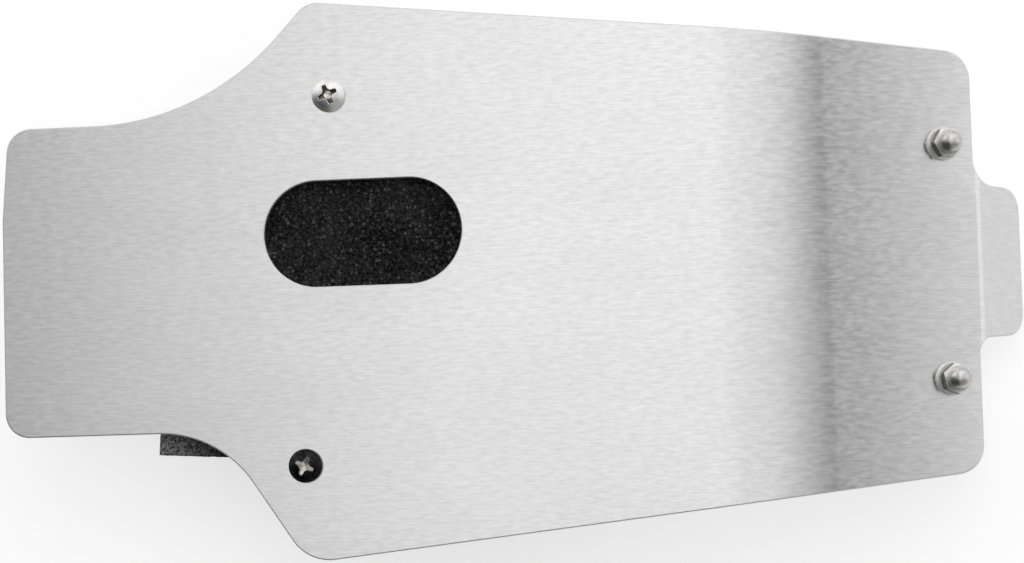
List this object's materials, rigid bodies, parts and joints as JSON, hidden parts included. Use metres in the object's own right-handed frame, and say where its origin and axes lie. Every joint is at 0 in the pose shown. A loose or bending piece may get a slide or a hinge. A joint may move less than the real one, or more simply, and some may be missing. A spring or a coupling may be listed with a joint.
{
  "type": "motorcycle skid plate",
  "caption": "Brushed aluminium skid plate with a bent front and tab, a round-ended drain slot, a foam pad, rear frame claws and front hook bolts with cap nuts.",
  "frame": {"origin": "middle of the bounding box in plan, at the height of the lowest point of the hooks, on which it lies", "axes": "+X to the front of the motorcycle, where the bent end is, +Y to the left as it lies, +Z out of the outer face of the flat belly"},
  "size_m": [0.3724, 0.2029, 0.0563],
  "materials": {
    "sheet": "brushed along its length, clear and satin",
    "foam": "open-cell foam, matte",
    "bright_zinc": "zinc plated, bright",
    "zinc": "zinc plated, satin",
    "black_steel": "black finish, worn bright in the recess",
    "claw_steel": "black powder coat",
    "nylon": "blue nylon"
  },
  "bodies": {
    "root": {"plate": "sheet", "foam_pad": "foam", "left_screw": "bright_zinc", "right_screw": "black_steel", "left_claw": "claw_steel", "right_claw": "claw_steel", "left_claw_washer": "zinc", "right_claw_washer": "zinc", "left_lock_nut": "zinc", "right_lock_nut": "zinc", "left_lock_ring": "nylon", "right_lock_ring": "nylon", "left_hook": "zinc", "right_hook": "zinc", "left_hook_washer": "zinc", "right_hook_washer": "zinc", "left_cap_nut": "bright_zinc", "right_cap_nut": "bright_zinc"}
  },
  "joints": []
}
